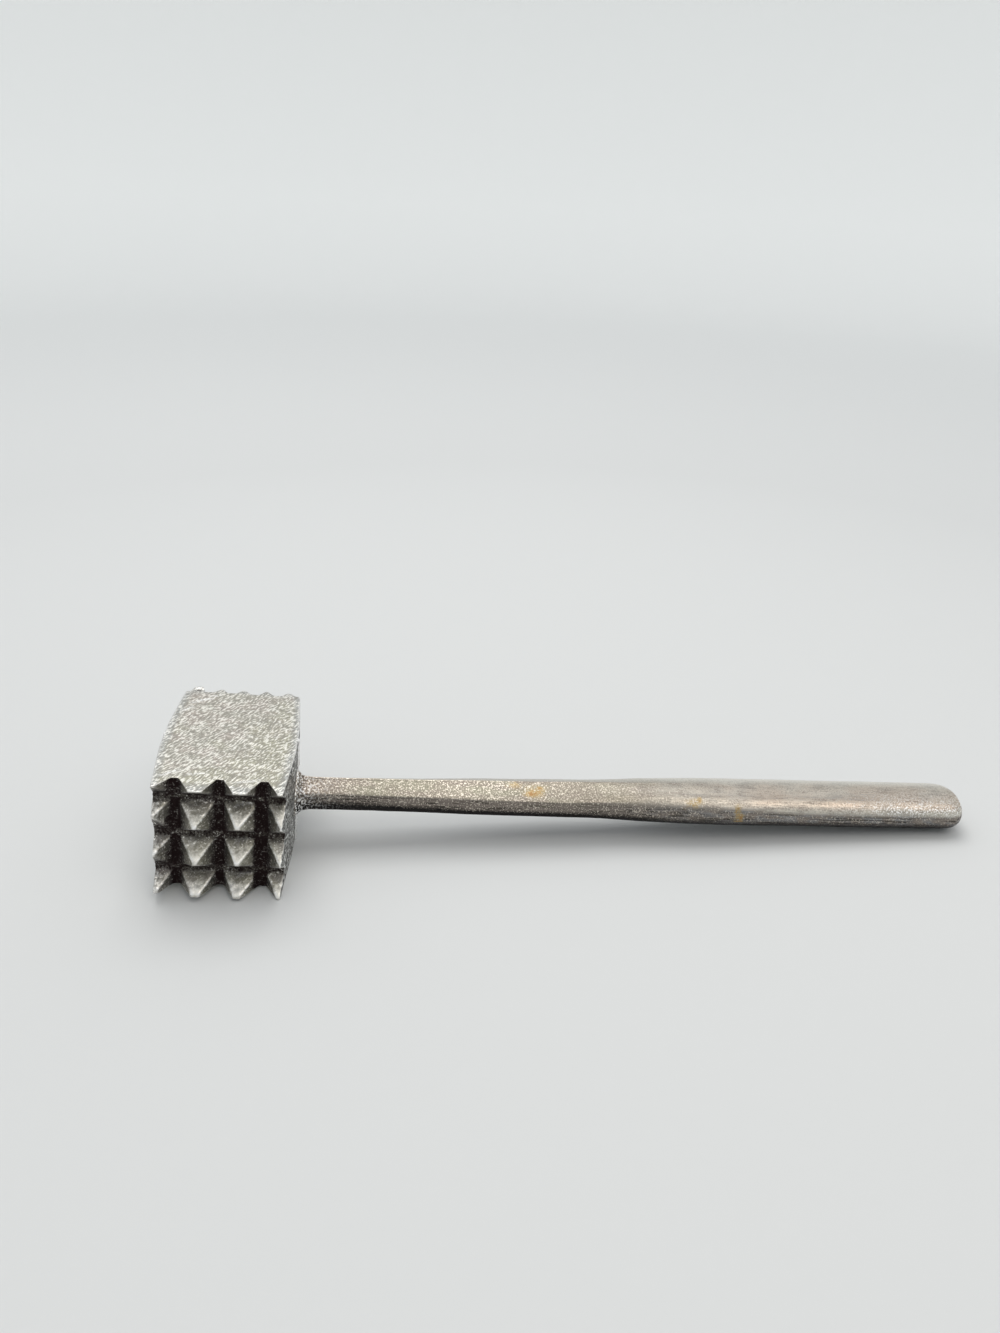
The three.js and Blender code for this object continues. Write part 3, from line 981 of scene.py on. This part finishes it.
sheet_mesh = bpy.data.meshes.new("studio_sheet")
sheet_mesh.from_pydata(sheet_points, [], sheet_faces)
sheet_mesh.shade_smooth()
studio_sheet = bpy.data.objects.new("studio_sheet", sheet_mesh)
bpy.context.scene.collection.objects.link(studio_sheet)

# The sheet glows a little far from the tool, to the eye and in the metal only, so the wall stays pale too
glow_from = 0.5
glow_full = 1.9
glow_strength = 0.32
sheet_material, tree, shader, place = metal_finish("pale_paper")
shader.inputs["Base Color"].default_value = (0.66, 0.67, 0.665, 1)
shader.inputs["Roughness"].default_value = 0.85
light_path = node(tree, "LightPath").outputs
seen = sums(tree, "MAXIMUM", light_path["Is Camera Ray"], light_path["Is Glossy Ray"])
seen = sums(tree, "MAXIMUM", seen, light_path["Is Transmission Ray"])
distance = node(tree, "VectorMath", {0: place}, operation="LENGTH").outputs["Value"]
glow = between(tree, distance, glow_from, glow_full, 0.0, glow_strength)
wall_glow = sums(tree, "MULTIPLY", glow, seen)
tree.links.new(wall_glow, shader.inputs["Emission Strength"])
shader.inputs["Emission Color"].default_value = (0.97, 1.0, 0.98, 1)
studio_sheet.data.materials.append(sheet_material)

# Light
# One wide soft lamp over the tool, a smaller warm one over its front right, and an even pale sky.
def soft_lamp(name, place, size, watts, colour):
    """A square lamp pointed at the tool."""
    lamp = bpy.data.lights.new(name, "AREA")
    lamp.shape = "SQUARE"
    lamp.size = size
    lamp.energy = watts
    lamp.color = colour
    stand = bpy.data.objects.new(name, lamp)
    stand.location = place
    stand.rotation_euler = (-Vector(place)).to_track_quat("-Z", "Y").to_euler()
    bpy.context.scene.collection.objects.link(stand)


soft_lamp("high_lamp", (-0.10, 0.35, 1.15), 0.8, 6.5, (1.0, 0.99, 0.97))
soft_lamp("front_lamp", (0.35, -0.45, 0.95), 0.6, 1.6, (1.0, 0.93, 0.84))

sky = bpy.data.worlds.new("sky")
bpy.context.scene.world = sky
sky.use_nodes = True
sky.node_tree.nodes.clear()
sky_light = node(sky.node_tree, "Background", {"Color": (0.95, 0.97, 1.0, 1), "Strength": 0.75})
node(sky.node_tree, "OutputWorld", {"Surface": sky_light.outputs[0]})

# Camera
# It looks along the photograph's line of sight, from in front of the head and above the floor, and has the
# photograph's width of view and its slight tilt.
film_height = 36.0
focal_pixels = 1002
image_pixels = 1333
eye = bpy.data.cameras.new("eye")
eye.sensor_fit = "AUTO"
eye.sensor_width = film_height
eye.lens = film_height * focal_pixels / image_pixels
eye.clip_start = 0.01
eye_from_head = Vector((0.05349, -0.28810, 0.18618))
eye_yaw = math.radians(6.8246)
eye_pitch = math.radians(26.111)
eye_roll = math.radians(-2.498)
level_right = Vector((1, 0, 0))
level_down = Vector((0, -math.sin(eye_pitch), -math.cos(eye_pitch)))
ahead = Vector((0, math.cos(eye_pitch), -math.sin(eye_pitch)))
rightward = math.cos(eye_roll) * level_right + math.sin(eye_roll) * level_down
downward = -math.sin(eye_roll) * level_right + math.cos(eye_roll) * level_down
swing = Matrix.Rotation(-eye_yaw, 3, "Z")
columns = Matrix((swing @ rightward, swing @ -downward, swing @ -ahead)).transposed()
camera = bpy.data.objects.new("camera", eye)
camera.matrix_world = Matrix.Translation(head_middle + eye_from_head) @ columns.to_4x4()
bpy.context.scene.collection.objects.link(camera)
bpy.context.scene.camera = camera
bpy.context.scene.view_settings.view_transform = "Standard"

bpy.context.view_layer.update()
